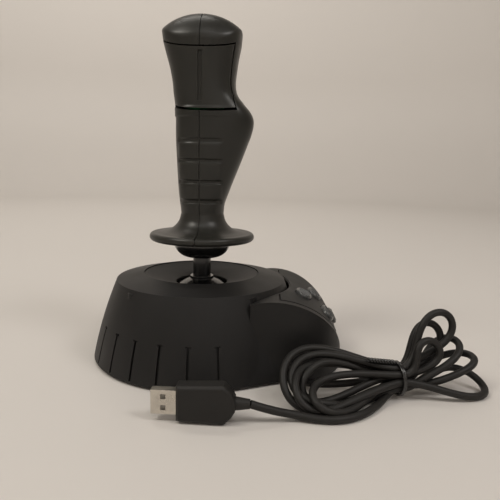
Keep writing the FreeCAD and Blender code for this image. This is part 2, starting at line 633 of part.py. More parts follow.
def make_trigger_switch():
    body = block((-3.4, 3.4), (-2.0, 4.5), (157, 164))
    return body.fuse(rod(1.2, V(0, -3.2, 160.5), V(0, 0, 160.5)))


def make_trigger_spring():
    return coil(2.4, 0.35, 8, 2.3, V(0, -14.3, 170), Y)


# --- thumb face ---
def panel_outline(grow, low, high):
    return ellipse_prism(PANEL_HALF_X + grow, PANEL_HALF_T + grow, low, high, V(0, PANEL_MID, 0))


def make_thumb_panel():
    panel = panel_outline(0.0, -PANEL_THICK, 0.0)
    panel = panel.cut(rod(HAT_HOLE, V(0, HAT_T, -20), V(0, HAT_T, 20)))
    for side in (-1, 1):
        place = V(side * THUMB_X, THUMB_T, 0)
        panel = panel.cut(ellipse_prism(THUMB_HALF_X + 0.3, THUMB_HALF_T + 0.3, -20, 20, place))
        low, high = sorted((side * 5.8, side * 7.6))
        panel = panel.fuse(block((low, high), (HAT_T - 2, HAT_T + 2), (-HAT_DEPTH - 2, -1.0)))
    pivot = V(0, HAT_T, -HAT_DEPTH)
    panel = panel.cut(rod(HAT_PIN + RUNNING, pivot - X * 12, pivot + X * 12))
    return placed(panel, face_frame())


def make_hat_rocker():
    """The cross pin that lets the hat tip both ways."""
    pivot = V(0, HAT_T, -HAT_DEPTH)
    cross = rod(HAT_PIN, pivot - X * 7.5, pivot + X * 7.5).fuse(rod(HAT_PIN, pivot - Y * 3.3, pivot + Y * 3.3))
    return placed(cross, face_frame())


def make_hat_cap():
    """A domed cap with four raised lobes on a slotted stem."""
    pivot = V(0, HAT_T, -HAT_DEPTH)
    stem = rod(3.3, V(0, HAT_T, -HAT_DEPTH - 2.0), V(0, HAT_T, 2.0))
    cap = rod(HAT_CAP, V(0, HAT_T, 1.4), V(0, HAT_T, 4.2))
    cap = cap.makeFillet(1.1, [e for e in cap.Edges if abs(e.BoundBox.ZMin - 4.2) < 0.01])
    cap = cap.cut(Part.makeSphere(11.0, V(0, HAT_T, 13.9)))
    cap = cap.fuse(stem)
    cap = cap.cut(block((-5, 5), (HAT_T - 1.5, HAT_T + 1.5), (-HAT_DEPTH - 2.1, -HAT_DEPTH + 2.0)))
    cap = cap.cut(rod(HAT_PIN + RUNNING, pivot - Y * 5, pivot + Y * 5))
    return placed(cap, face_frame())


def make_thumb_button(side):
    place = V(side * THUMB_X, THUMB_T, 0)
    cap = ellipse_prism(THUMB_HALF_X, THUMB_HALF_T, -3.0, 2.2, place)
    cap = cap.makeFillet(0.9, [e for e in cap.Edges if e.BoundBox.ZMin > 2.19])
    cap = cap.fuse(ellipse_prism(THUMB_HALF_X + 0.6, THUMB_HALF_T + 0.6, -3.2, -1.8, place))
    return placed(cap, face_frame())


# --- cable ---
def hank_frame():
    return FreeCAD.Placement(HANK_START, FreeCAD.Rotation(Z, HANK_TURN))


def hank_section(along, low, high, bottom, top):
    """An ellipse across the hank."""
    half_t, half_z = (high - low) / 2, (top - bottom) / 2
    centre = V(along, (high + low) / 2, (top + bottom) / 2)
    points = [centre + V(0, half_t * math.cos(a), half_z * math.sin(a))
              for a in [2 * math.pi * i / 20 for i in range(20)]]
    curve = Part.BSplineCurve()
    curve.interpolate(points, True)
    return Part.Wire(curve.toShape())


def make_hank():
    """The outer shape of the tied hank: two lobes and a narrow waist."""
    lobes = [Part.makeLoft([hank_section(*row) for row in rows], True, True)
             for rows in (HANK[:6], HANK[5:7], HANK[6:])]
    hank = lobes[0].fuse(lobes[1]).fuse(lobes[2])
    return placed(hank, hank_frame())


def make_tie():
    grown, fitted = [], []
    for along in TIE:
        grown.append(hank_section(along, -10.3, 8.7, 0.2, 19.8))
        fitted.append(hank_section(along, -9.3, 7.7, 1.2, 18.8))
    band = Part.makeLoft(grown, True, True).cut(Part.makeLoft(fitted, True, True))
    return placed(band, hank_frame())


def cord_path(points):
    """Straight runs joined by the largest tangent arcs that the runs leave room for."""
    edges, here = [], points[0]
    for before, corner, after in zip(points, points[1:], points[2:]):
        way_in, way_out = (corner - before).normalize(), (after - corner).normalize()
        turn = math.acos(max(-1.0, min(1.0, way_in.dot(way_out))))
        run = min((corner - before).Length, (after - corner).Length)
        back = 0.45 * run
        radius = back / math.tan(turn / 2)
        start, end = corner - way_in * back, corner + way_out * back
        bisector = (way_out - way_in).normalize()
        middle = corner + bisector * (radius / math.cos(turn / 2) - radius)
        edges += [Part.LineSegment(here, start).toShape(), Part.Arc(start, middle, end).toShape()]
        print(f"cord arc radius {radius:6.1f} turn {math.degrees(turn):5.1f}")
        here = end
    edges.append(Part.LineSegment(here, points[-1]).toShape())
    return Part.Wire(edges)


def make_cord(points):
    path = cord_path(points)
    ring = Part.Wire(Part.makeCircle(CORD, points[0], points[1] - points[0]))
    cord = path.makePipeShell([ring], True, True)
    plain = math.pi * CORD ** 2 * path.Length
    print(f"cord length {path.Length:.1f} volume ratio {cord.Volume / plain:.4f}")
    return cord


def make_gland():
    """The ribbed strain relief through the pod's wall."""
    way = GLAND_WAY * 1.0
    way.normalize()
    gland = rod(GLAND_BORE - 0.1, GLAND - way * 7.0, GLAND + way * 1.0)
    gland = gland.fuse(rod(GLAND_BORE + 0.6, GLAND - way * 7.4, GLAND - way * 6.0))
    gland = gland.fuse(Part.makeCone(3.6, 2.5, 9.0, GLAND + way * 0.4, way))
    for step, radius in ((1.2, 4.4), (3.4, 4.1), (5.6, 3.8), (7.8, 3.4)):
        gland = gland.fuse(rod(radius, GLAND + way * (step - 0.55), GLAND + way * (step + 0.55)))
    return gland


def make_lead():
    way = GLAND_WAY * 1.0
    way.normalize()
    return rod(CORD, GLAND + way * 9.4, GLAND + way * 19.0)


def make_plug_body():
    """The moulded grip of the plug, standing on its long edge."""
    body = extruded([
        V(2, PLUG_Y - 4.6, 1.2), V(24.6, PLUG_Y - 4.6, 0.2), V(28.2, PLUG_Y - 4.6, 3.8), V(30, PLUG_Y - 4.6, 7.0),
        V(30, PLUG_Y - 4.6, 13.0), V(28.2, PLUG_Y - 4.6, 16.2), V(24.6, PLUG_Y - 4.6, 19.8),
        V(2, PLUG_Y - 4.6, 18.8)], V(0, 9.2, 0))
    return body.makeChamfer(1.2, [e for e in body.Edges if e.BoundBox.YLength < 0.01])


def make_plug_shell():
    outer = block((-10.3, 2.0), (PLUG_Y - 2.25, PLUG_Y + 2.25), (4.0, 16.0))
    outer = outer.cut(block((-10.3, 2.0), (PLUG_Y - 1.95, PLUG_Y + 1.95), (4.3, 15.7)))
    for z in (7.2, 12.8):
        outer = outer.cut(block((-5.6, -3.1), (PLUG_Y - 3, PLUG_Y + 3), (z - 1.25, z + 1.25)))
    return outer


def make_plug_insert():
    return block((-9.6, 2.0), (PLUG_Y - 0.1, PLUG_Y + 1.85), (4.5, 15.5))


def make_plug_relief():
    return Part.makeCone(3.3, 2.3, 7.0, V(30, PLUG_Y, PLUG_Z), X)


# --- the parts ---
cavity = turned(base_profile(WALL, WALL)).fuse(pod_solid(2.5))
save("base_shell", make_base_shell(cavity))
save("base_plate", make_base_plate(cavity))
save("rubber_feet", make_feet())
save("base_screws", make_base_screws())
save("recess_dish", make_recess_dish())
save("ballast_ring", make_ballast())
save("main_board", make_main_board())
save("pod_panel", make_pod_panel())
save("pod_switch_board", make_pod_board())
save("pod_switches", make_pod_switches())
for number in range(len(BUTTON_PLACES)):
    save(f"pod_button_{number + 1}", make_pod_button(number))
save("throttle_lever", make_throttle_lever())
save("throttle_pin", make_throttle_pin())
save("throttle_sensor", make_throttle_sensor())

save("gimbal_frame", make_gimbal_frame())
save("gimbal_ring", make_gimbal_ring())
save("pitch_pins", make_pitch_pins())
save("pitch_sensor", make_pitch_sensor())
save("pitch_spring", coil(3.4, 0.45, 5, 1.15, V(21.8, 0, PIVOT), X))
save("roll_sensor", make_roll_sensor())
save("roll_spring", coil(3.1, 0.4, 5, 1.0, V(0, -13.6, PIVOT), Y))
save("cradle", make_cradle())
save("roll_pin", make_roll_pin())
save("dome_cover", make_dome())
save("shaft", make_shaft())
save("lower_hub", make_hub())

grip = grip_column(0.0, 91, 214).common(head_limit(0.0))
left_half, right_half = make_handle_halves(grip)
save("handle_shell_left", left_half)
save("handle_shell_right", right_half)
save("handle_screws", make_handle_screws())
save("twist_bush", make_twist_bush())
save("twist_sensor", make_twist_sensor())
save("head_board", make_head_board())
save("trigger", make_trigger(grip))
save("trigger_pin", rod(TRIGGER_PIN, TRIGGER_PIVOT - X * 15.4, TRIGGER_PIVOT + X * 15.4))
save("trigger_switch", make_trigger_switch())
save("trigger_spring", make_trigger_spring())
save("thumb_panel", make_thumb_panel())
save("hat_rocker", make_hat_rocker())
save("hat_cap", make_hat_cap())
save("thumb_button_left", make_thumb_button(1))
save("thumb_button_right", make_thumb_button(-1))

save("cable_gland", make_gland())
save("cable_lead", make_lead())
save("cable_hank", make_hank())
save("cable_tie", make_tie())
save("cable_tail", make_cord(TAIL))
save("plug_body", make_plug_body())
save("plug_shell", make_plug_shell())
save("plug_insert", make_plug_insert())
save("plug_strain_relief", make_plug_relief())
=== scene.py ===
"""Looks of the flight joystick: finished surfaces, the tied cable, materials, light and camera."""
import bpy
import bmesh
import json
import math
import numpy as np
from mathutils import Matrix, Vector


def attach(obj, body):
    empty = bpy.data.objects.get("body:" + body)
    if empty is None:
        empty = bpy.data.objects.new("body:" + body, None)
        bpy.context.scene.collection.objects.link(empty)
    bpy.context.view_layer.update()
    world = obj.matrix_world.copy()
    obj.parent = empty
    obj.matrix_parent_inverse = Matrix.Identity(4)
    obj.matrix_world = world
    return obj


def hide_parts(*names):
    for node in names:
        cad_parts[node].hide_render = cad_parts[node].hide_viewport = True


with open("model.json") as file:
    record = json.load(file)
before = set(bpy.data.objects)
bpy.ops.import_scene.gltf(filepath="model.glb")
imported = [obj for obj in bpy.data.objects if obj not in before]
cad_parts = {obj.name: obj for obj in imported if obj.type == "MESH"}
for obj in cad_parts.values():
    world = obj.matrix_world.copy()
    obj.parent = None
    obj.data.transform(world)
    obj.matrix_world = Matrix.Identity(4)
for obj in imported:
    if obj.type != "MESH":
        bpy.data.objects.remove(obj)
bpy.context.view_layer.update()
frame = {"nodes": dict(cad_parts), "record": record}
MM = 0.001


# --- camera ---
CAMERA_PLACE = Vector((44.5, -316.5, 121.3)) * MM
CAMERA_HEADING, CAMERA_PITCH, CAMERA_ROLL = 2.46, -9.55, 1.5    # degrees


def add_camera():
    data = bpy.data.cameras.new("camera")
    data.sensor_width = data.lens = 36.0
    data.clip_start = 0.01
    camera = bpy.data.objects.new("camera", data)
    bpy.context.collection.objects.link(camera)
    turn = (Matrix.Rotation(math.radians(CAMERA_HEADING), 4, "Z")
            @ Matrix.Rotation(math.radians(90 + CAMERA_PITCH), 4, "X")
            @ Matrix.Rotation(math.radians(CAMERA_ROLL), 4, "Z"))
    camera.matrix_world = Matrix.Translation(CAMERA_PLACE) @ turn
    bpy.context.scene.camera = camera


# --- materials ---
def new_material(name):
    material = bpy.data.materials.new(name)
    material.use_nodes = True
    nodes = material.node_tree.nodes
    return material, nodes, material.node_tree.links, nodes["Principled BSDF"]


def noise(nodes, links, where, scale, detail=4.0, roughness=0.55):
    texture = nodes.new("ShaderNodeTexNoise")
    texture.inputs["Scale"].default_value = scale
    texture.inputs["Detail"].default_value = detail
    texture.inputs["Roughness"].default_value = roughness
    links.new(where.outputs["Object"], texture.inputs["Vector"])
    return texture.outputs["Fac"]


def ramp(nodes, links, value, low, high, start, end):
    """A smooth map of value from (low, high) to two greys or colours."""
    node = nodes.new("ShaderNodeValToRGB")
    node.color_ramp.elements[0].position, node.color_ramp.elements[1].position = low, high
    node.color_ramp.elements[0].color = colour(start)
    node.color_ramp.elements[1].color = colour(end)
    links.new(value, node.inputs["Fac"])
    return node.outputs["Color"]


def colour(value):
    if isinstance(value, (int, float)):
        value = (value, value, value)
    return (*value, 1.0)


def mixed(nodes, links, factor, first, second):
    node = nodes.new("ShaderNodeMix")
    node.data_type = "RGBA"
    links.new(factor, node.inputs["Factor"])
    links.new(first, node.inputs[6])
    links.new(second, node.inputs[7])
    return node.outputs[2]


def worn_and_highlit_edge_mask(nodes, links, radius):
    """Paler sharp edges: handling wear, and a painted highlight where a rounded edge would catch the light.
    """
    soft = nodes.new("ShaderNodeBevel")
    soft.samples = 4
    soft.inputs["Radius"].default_value = radius
    hard = nodes.new("ShaderNodeNewGeometry")
    dot = nodes.new("ShaderNodeVectorMath")
    dot.operation = "DOT_PRODUCT"
    links.new(soft.outputs["Normal"], dot.inputs[0])
    links.new(hard.outputs["Normal"], dot.inputs[1])
    return ramp(nodes, links, dot.outputs["Value"], 0.90, 0.995, 1.0, 0.0)


def bump(nodes, links, height, strength, distance, after=None):
    node = nodes.new("ShaderNodeBump")
    node.inputs["Strength"].default_value = strength
    node.inputs["Distance"].default_value = distance
    links.new(height, node.inputs["Height"])
    if after is not None:
        links.new(after, node.inputs["Normal"])
    return node.outputs["Normal"]


def moulded(name, base, worn_highlit_edge, rough, grain, depth=0.25, edges=0.35, specular=0.5):
    """Moulded plastic: spark-eroded grain, faint smears and paler edges, from handling wear and a painted
    highlight.
    """
    material, nodes, links, shader = new_material(name)
    where = nodes.new("ShaderNodeTexCoord")
    smear = noise(nodes, links, where, 28.0, 5.0, 0.6)
    fine = noise(nodes, links, where, grain, 2.0, 0.5)
    broad = noise(nodes, links, where, grain * 0.22, 3.0, 0.5)
    darker, lighter = (tuple(share * c for c in base) for share in (0.86, 1.12))
    tone = ramp(nodes, links, smear, 0.30, 0.72, darker, lighter)
    # paler edges: part handling wear, part painted highlight where a rounded edge would catch the light
    if edges:
        edge = worn_and_highlit_edge_mask(nodes, links, 0.0005)
        scale = nodes.new("ShaderNodeMath")
        scale.operation = "MULTIPLY"
        scale.inputs[1].default_value = edges
        links.new(edge, scale.inputs[0])
        pale = nodes.new("ShaderNodeRGB")
        pale.outputs[0].default_value = colour(worn_highlit_edge)
        tone = mixed(nodes, links, scale.outputs[0], tone, pale.outputs[0])
    links.new(tone, shader.inputs["Base Color"])
    links.new(ramp(nodes, links, smear, 0.25, 0.78, rough - 0.06, rough + 0.08), shader.inputs["Roughness"])
    shader.inputs["Specular IOR Level"].default_value = specular
    first = bump(nodes, links, broad, depth * 0.5, 0.00006)
    links.new(bump(nodes, links, fine, depth, 0.00003, first), shader.inputs["Normal"])
    return material


def glossy(name, base, rough=0.16, coat=0.5):
    """Polished black plastic with fine dust and hairline scuffs."""
    material, nodes, links, shader = new_material(name)
    where = nodes.new("ShaderNodeTexCoord")
    dust = noise(nodes, links, where, 900.0, 3.0, 0.7)
    smear = noise(nodes, links, where, 60.0, 4.0)
    links.new(ramp(nodes, links, dust, 0.60, 0.80, base, tuple(c + 0.035 for c in base)),
              shader.inputs["Base Color"])
    links.new(ramp(nodes, links, smear, 0.3, 0.75, rough, rough + 0.14), shader.inputs["Roughness"])
    shader.inputs["Coat Weight"].default_value = coat
    shader.inputs["Coat Roughness"].default_value = 0.12
    links.new(bump(nodes, links, smear, 0.08, 0.0001), shader.inputs["Normal"])
    return material


def metal(name, base, rough, streak=(3.0, 220.0, 220.0)):
    """Rolled or drawn metal with fine streaks along X and dull patches."""
    material, nodes, links, shader = new_material(name)
    where = nodes.new("ShaderNodeTexCoord")
    stretch = nodes.new("ShaderNodeMapping")
    stretch.inputs["Scale"].default_value = streak
    links.new(where.outputs["Object"], stretch.inputs["Vector"])
    lines = nodes.new("ShaderNodeTexNoise")
    lines.inputs["Scale"].default_value = 14.0
    lines.inputs["Detail"].default_value = 3.0
    links.new(stretch.outputs["Vector"], lines.inputs["Vector"])
    patch = noise(nodes, links, where, 180.0, 3.0)
    links.new(ramp(nodes, links, patch, 0.35, 0.7, tuple(0.82 * c for c in base), base),
              shader.inputs["Base Color"])
    links.new(ramp(nodes, links, patch, 0.3, 0.7, rough - 0.06, rough + 0.12), shader.inputs["Roughness"])
    shader.inputs["Metallic"].default_value = 1.0
    links.new(bump(nodes, links, lines.outputs["Fac"], 0.15, 0.00004), shader.inputs["Normal"])
    return material


def board_green():
    """A circuit board: solder mask with copper tracks showing through."""
    material, nodes, links, shader = new_material("board_green_finish")
    where = nodes.new("ShaderNodeTexCoord")
    tracks = nodes.new("ShaderNodeTexVoronoi")
    tracks.distance = "MANHATTAN"
    tracks.inputs["Scale"].default_value = 320.0
    links.new(where.outputs["Object"], tracks.inputs["Vector"])
    links.new(ramp(nodes, links, tracks.outputs["Distance"], 0.35, 0.42, (0.012, 0.10, 0.035),
                   (0.02, 0.17, 0.06)), shader.inputs["Base Color"])
    shader.inputs["Roughness"].default_value = 0.35
    links.new(bump(nodes, links, tracks.outputs["Distance"], 0.1, 0.00005), shader.inputs["Normal"])
    return material


FINISHES = {
    "base_black": moulded("base_black_finish", (0.0105, 0.0100, 0.0098), (0.035, 0.034, 0.033), 0.50,
                          grain=900.0, depth=0.35, edges=0.30, specular=0.30),
    "grip_plastic": moulded("grip_plastic_finish", (0.019, 0.0185, 0.0155), (0.060, 0.058, 0.050), 0.34,
                            grain=1500.0, depth=0.12, edges=0.30, specular=0.35),
    "gloss_black": glossy("gloss_black_finish", (0.006, 0.006, 0.006)),
    "button_grey": moulded("button_grey_finish", (0.060, 0.062, 0.062), (0.14, 0.14, 0.14), 0.26,
                           grain=1200.0, depth=0.10, edges=0.4),
    "panel_dark": moulded("panel_dark_finish", (0.012, 0.012, 0.012), (0.05, 0.05, 0.05), 0.50,
                          grain=1300.0, depth=0.2, specular=0.2),
    "rubber": moulded("rubber_finish", (0.012, 0.012, 0.012), (0.03, 0.03, 0.03), 0.78,
                      grain=700.0, depth=0.5, edges=0.0, specular=0.25),
    "cord_jacket": moulded("cord_jacket_finish", (0.014, 0.0130, 0.0120), (0.05, 0.05, 0.05), 0.50,
                           grain=1600.0, depth=0.2, edges=0.0, specular=0.30),
    "plug_metal": metal("plug_metal_finish", (0.66, 0.62, 0.55), 0.30),
    # the insert is greyed below its real white: painted shade that darkens the holes in the plug's shell
    "plug_insert_white": moulded("plug_insert_painted_shade_finish", (0.55, 0.52, 0.47), (0.7, 0.7, 0.7), 0.42,
                                 grain=1200.0, depth=0.1, edges=0.0),
    "steel": metal("steel_finish", (0.52, 0.52, 0.53), 0.32),
    "spring_steel": metal("spring_steel_finish", (0.42, 0.42, 0.44), 0.28),
    "board_green": board_green(),
    "inner_plastic": moulded("inner_plastic_finish", (0.08, 0.08, 0.083), (0.16, 0.16, 0.16), 0.5,
                             grain=900.0, edges=0.2),
    "sensor_blue": moulded("sensor_blue_finish", (0.02, 0.07, 0.22), (0.1, 0.16, 0.3), 0.4,
                           grain=1000.0, depth=0.2, edges=0.2),
}


# --- pieces from the CAD model ---
def body_of(node):
    for body, nodes in frame["record"]["behaviour"]["bodies"].items():
        if node in nodes:
            return body
    raise KeyError(node)


def finish_cad_nodes():
    """Every carried-over node takes the full finish of its own slot."""
    names = {}
    for name, node in frame["nodes"].items():
        names[name] = node.data.materials[0].name.split(".")[0]
        for place in range(len(node.data.materials)):
            node.data.materials[place] = FINISHES[names[name]]
    return names


SLOT_OF = finish_cad_nodes()


def link(piece, body, slot):
    """Put a new piece in the scene on its body, with its slot's finish."""
    bpy.context.collection.objects.link(piece)
    if not piece.data.materials:
        piece.data.materials.append(FINISHES[slot])
    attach(piece, body)
    return piece


def smooth(mesh, degrees):
    mesh.shade_smooth()
    mesh.set_sharp_from_angle(angle=math.radians(degrees))


def round_edges(piece, width, degrees, segments=3):
    bevel = piece.modifiers.new("edges", "BEVEL")
    bevel.width, bevel.segments, bevel.profile = width, segments, 0.6
    bevel.limit_method, bevel.angle_limit = "ANGLE", math.radians(degrees)
    bevel.miter_outer = "MITER_ARC"
    bevel.harden_normals = False
    weighted = piece.modifiers.new("normals", "WEIGHTED_NORMAL")
    weighted.keep_sharp = True
    weighted.weight = 60


def refined(node, width=0.25, degrees=32.0, extra=None):
    """A welded, smooth-shaded copy of a CAD node with softly rounded edges."""
    mesh = frame["nodes"][node].data.copy()
    work = bmesh.new()
    work.from_mesh(mesh)
    bmesh.ops.remove_doubles(work, verts=work.verts, dist=0.008 * MM)
    bmesh.ops.dissolve_degenerate(work, edges=work.edges, dist=0.004 * MM)
    if extra is not None:
        extra(work)
    work.to_mesh(mesh)
    work.free()
    smooth(mesh, degrees)
    piece = link(bpy.data.objects.new(node + "_finished", mesh), body_of(node), SLOT_OF[node])
    if width:
        round_edges(piece, width * MM, degrees)
    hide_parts(node)
    return piece


# --- cable ---
CORD = 2.0                                    # radius, mm
GLAND, GLAND_WAY = Vector((57.8, -48.5, 8.5)), Vector((0.36, -0.933, 0)).normalized()
HANK_START, HANK_TURN = Vector((58, -72, 0)), math.radians(15.4)
WAIST, WAIST_ENDS = Vector((59, -0.8, 10)), (55.5, 62.5)
CORD_GAP = 4.15                               # how near two strands' centres may lie, mm
LEAST_BEND = 7.0                              # the radius that the settled cord's bends open to, mm
FLOOR_GAP = 0.1                               # between the settled cord and the table, mm
LEAD_PLACES = (9.4, 14.2, 19.0)               # the cord's first points, how far out from the gland, mm
TAIL = [Vector(p) for p in (
    (37, -95, 10), (47, -93.5, 6.4), (58, -90.2, 3.2), (70, -92.2, 2.2), (82, -91.4, 2.1),
    (93, -84.5, 2.1), (101, -75, 2.2), (107, -69, 3.4))]
LEAD = ((14.0, 0.5, 8.4), (24.0, -1.5, 8.6), (36.0, 0.5, 8.8), (49.0, 3.2, 8.4))   # in the hank's frame
# tip (along, across, up), width, way across the loop, for the loops right and left of the tie
RIGHT_LOOPS = (
    ((105.0, 0.3, 19.0), 18.0, (0.0, 1.0, 0.12)),
    ((89.0, 3.0, 43.0), 20.0, (-0.78, 0.0, 0.62)),
    ((97.5, 5.5, 27.0), 17.0, (-0.2, 1.0, 0.25)),
    ((79.0, -2.5, 29.0), 15.0, (-0.80, 0.2, 0.55)),
    ((86.0, 9.0, 35.0), 16.5, (-0.72, 0.25, 0.64)),
    ((109.5, -2.5, 4.5), 25.0, (-0.1, 0.93, 0.42)),
)
LEFT_LOOPS = (
    ((-5.2, -3.0, 13.0), 37.0, (0.0, -0.70, -0.72)),
    ((-0.5, -5.0, 13.0), 31.0, (0.0, 0.72, 0.70)),
    ((5.5, -14.5, 8.0), 21.0, (0.0, 0.86, 0.52)),
    ((3.0, -4.0, 12.0), 22.0, (0.1, 0.60, 0.80)),
    ((-1.5, -9.0, 11.0), 27.0, (0.0, 0.80, 0.60)),
)
OUTER_RING, INNER_RING = 6.06, 2.31           # how twelve strands pack in the tie
# where each pass through the tie lies: (ring, degrees), in the order the cord takes them
PASSES = (
    (OUTER_RING, 340), (OUTER_RING, 300), (OUTER_RING, 60), (OUTER_RING, 100),
    (OUTER_RING, 220), (INNER_RING, 240), (OUTER_RING, 140), (INNER_RING, 120),
    (INNER_RING, 0), (OUTER_RING, 20), (OUTER_RING, 180), (OUTER_RING, 260),
)
LOOP_POINTS = 24
SETTLE_ROUNDS, NEIGHBOURS = 360, 3            # points this close along the cord don't push each other
STIFFNESS, HOME_PULL, STRETCH, PUSH, OPENING = 0.05, 0.012, 0.3, 0.45, 0.3   # shares moved in a round
TIE_WIRE, TIE_END, TIE_TWISTS = 0.75, 17.0, 5      # radius of the tie's wire, length and turns of its ends
TIE_RISE, TIE_STEPS, TIE_TURN_POINTS = 2.6, 8, 48  # how the ends rise, points in a twist and in the two wraps


def on_hank(point):
    """(along, across, up) in the hank's own frame as a point of the row's frame, in mm."""
    c, s = math.cos(HANK_TURN), math.sin(HANK_TURN)
    return HANK_START + Vector((point[0] * c - point[1] * s, point[0] * s + point[1] * c, point[2]))


def strand(number):
    ring, degrees = PASSES[number]
    a = math.radians(degrees)
    return Vector((0, ring * math.cos(a), ring * math.sin(a)))


def loop_points(tip, width, across, first, last, mouth):
    """A slack loop from one strand's place in the tie, round its tip and back to another's."""
    start = WAIST.copy()
    start.x = mouth
    reach, side = Vector(tip) - start, Vector(across).normalized() * (width / 2)
    if (first - last).dot(side) < 0:          # each strand leaves on its own side, so that they don't cross
        side = -side
    points = []
    for i in range(1, LOOP_POINTS):
        u = i / LOOP_POINTS
        out = math.sin(math.pi * u)
        held = (first if u < 0.5 else last) * (1 - out) ** 1.5
        points.append(start + reach * out + side * math.sin(2 * math.pi * u) + held)
    return points


def hank_points():
    """The whole wound stretch in the hank's frame, with a mark on each point that the tie holds."""
    points = [(Vector(p), False) for p in LEAD]
    for number in range(len(PASSES)):
        ends = WAIST_ENDS if number % 2 == 0 else WAIST_ENDS[::-1]
        for along in (ends[0], WAIST.x, ends[1]):
            held = WAIST + strand(number)
            held.x = along
            points.append((held, True))
        if number == len(PASSES) - 1:
            break
        loops, mouth = (RIGHT_LOOPS, WAIST_ENDS[1]) if number % 2 == 0 else (LEFT_LOOPS, WAIST_ENDS[0])
        tip, width, across = loops[number // 2]
        points += [(p, False) for p in loop_points(
            tip, width, across, strand(number), strand(number + 1), mouth)]
    return points


def settle(points, held):
    """Push crossing strands apart and open out tight bends, as a wound cord does, above the table."""
    home = np.array([tuple(p) for p in points])
    place, held = home.copy(), np.array(held)
    number = np.arange(len(home))
    apart = np.abs(number[:, None] - number[None, :]) > NEIGHBOURS
    length = np.linalg.norm(np.diff(home, axis=0), axis=1)[:, None]
    for done in range(SETTLE_ROUNDS):
        bend = place[:-4] - 4 * place[1:-3] + 6 * place[2:-2] - 4 * place[3:-1] + place[4:]
        place[2:-2] -= STIFFNESS * bend
        place += HOME_PULL * (1 - done / SETTLE_ROUNDS) * (home - place)
        step = np.diff(place, axis=0)
        long = np.linalg.norm(step, axis=1)[:, None]
        change = STRETCH * step * (1 - length / long)
        place[:-1] += change
        place[1:] -= change
        gap = place[:, None, :] - place[None, :, :]
        far = np.linalg.norm(gap, axis=2) + 1e-9
        push = np.where(apart & (far < CORD_GAP), (CORD_GAP - far) / far, 0.0)
        place += PUSH * (gap * push[..., None]).sum(axis=1)
        turn = place[:-2] + place[2:] - 2 * place[1:-1]
        sharp = np.linalg.norm(turn, axis=1)[:, None]
        most = (length[:-1] + length[1:]) ** 2 / (4 * LEAST_BEND)
        ease = OPENING * turn * np.maximum(0, 1 - most / (sharp + 1e-9))
        place[1:-1] += ease
        place[:-2] -= 0.5 * ease
        place[2:] -= 0.5 * ease
        place[:, 2] = np.maximum(place[:, 2], CORD + FLOOR_GAP)
        place[held] = home[held]
    return [Vector(p) for p in place]


def tube(name, places, radius, round_steps, long_steps):
    """A round tube along a smooth curve that is led by places, in mm."""
    curve = bpy.data.curves.new(name, "CURVE")
    curve.dimensions = "3D"
    curve.bevel_depth, curve.bevel_resolution, curve.resolution_u = radius * MM, round_steps, long_steps
    curve.use_fill_caps = True
    line = curve.splines.new("NURBS")
    line.points.add(len(places) - 1)
    for point, place in zip(line.points, places):
        point.co = (*(place * MM), 1.0)
    line.order_u = 3
    line.use_endpoint_u = True
    line.use_smooth = True
    return bpy.data.objects.new(name, curve)


def add_cable(with_pieces):
    """One cord from the gland through the hank to the plug."""
    wound = hank_points()
    points = [GLAND + GLAND_WAY * out for out in LEAD_PLACES]
    held = [True, True, False]
    points += [on_hank(p) for p, _ in wound] + TAIL[::-1]
    held += [mark for _, mark in wound] + [False] + [True] * (len(TAIL) - 1)
    cable = link(tube("cable", settle(points, held), CORD, 5, 6), "base", "cord_jacket")
    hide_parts("cable_lead", "cable_hank", "cable_tail")
    return cable


def twisted(i, phase):
    """One point of the tie's twisted pair of ends, counted from their tip."""
    a = 2 * math.pi / TIE_STEPS * i + phase
    back = TIE_END * (1 - i / (TIE_TWISTS * TIE_STEPS))
    top = WAIST.z + OUTER_RING + CORD + TIE_WIRE + 0.3 + TIE_RISE * back / TIE_END
    return (WAIST.x - 1.5 - back, -1.5 + TIE_WIRE * 1.1 * math.cos(a), top + TIE_WIRE * 1.1 * math.sin(a))


def add_tie():
    """A soft wire tie: two turns round the strands, its ends twisted together along their top."""
    hoop, last = OUTER_RING + CORD + TIE_WIRE, TIE_TWISTS * TIE_STEPS
    points = [twisted(i, 0.0) for i in range(last + 1)]
    for i in range(1, TIE_TURN_POINTS):
        a = math.radians(90 + 720 / TIE_TURN_POINTS * i)
        points.append((WAIST.x - 0.9 + 1.8 * i / TIE_TURN_POINTS, WAIST.y + hoop * math.cos(a),
                       WAIST.z + hoop * math.sin(a)))
    points += [twisted(i, math.pi) for i in range(last - 5, -1, -1)]
    tie = link(tube("tie_finished", [on_hank(p) for p in points], TIE_WIRE, 3, 3), "base", "gloss_black")
    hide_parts("cable_tie")
    return tie


add_camera()
plug_pieces = [refined(n, w) for n, w in (
    ("plug_body", 0.6), ("plug_shell", 0.12), ("plug_insert", 0.15), ("plug_strain_relief", 0.2))]
add_cable(plug_pieces + [add_tie()])


# --- pod buttons ---
BUTTON_RIBS, RIB_HALF, RIB_HEIGHT, RIB_SUNK = 4, 0.42, 0.55, 0.15    # mm
RIB_SPREAD, RIB_REACH = 1.6, 0.72             # shares of a cap's half length and half width
CAP_HEIGHT = 4.0                              # the part of a button that is measured for its ribs, mm


def button_axis(node):
    """A pod button's own directions: across the pod, round its barrel and outwards."""
    joint = next(j for j in frame["record"]["behaviour"]["joints"] if j["child"] == node)
    out = -Vector(joint["axis"]).normalized()
    across = (Vector((0, 1, 0)) - out * out.y).normalized()
    return across, out.cross(across), out


def span(corners, way):
    """The middle and half the extent of some corners along one direction."""
    low, high = min(c.dot(way) for c in corners), max(c.dot(way) for c in corners)
    return (low + high) / 2, (high - low) / 2


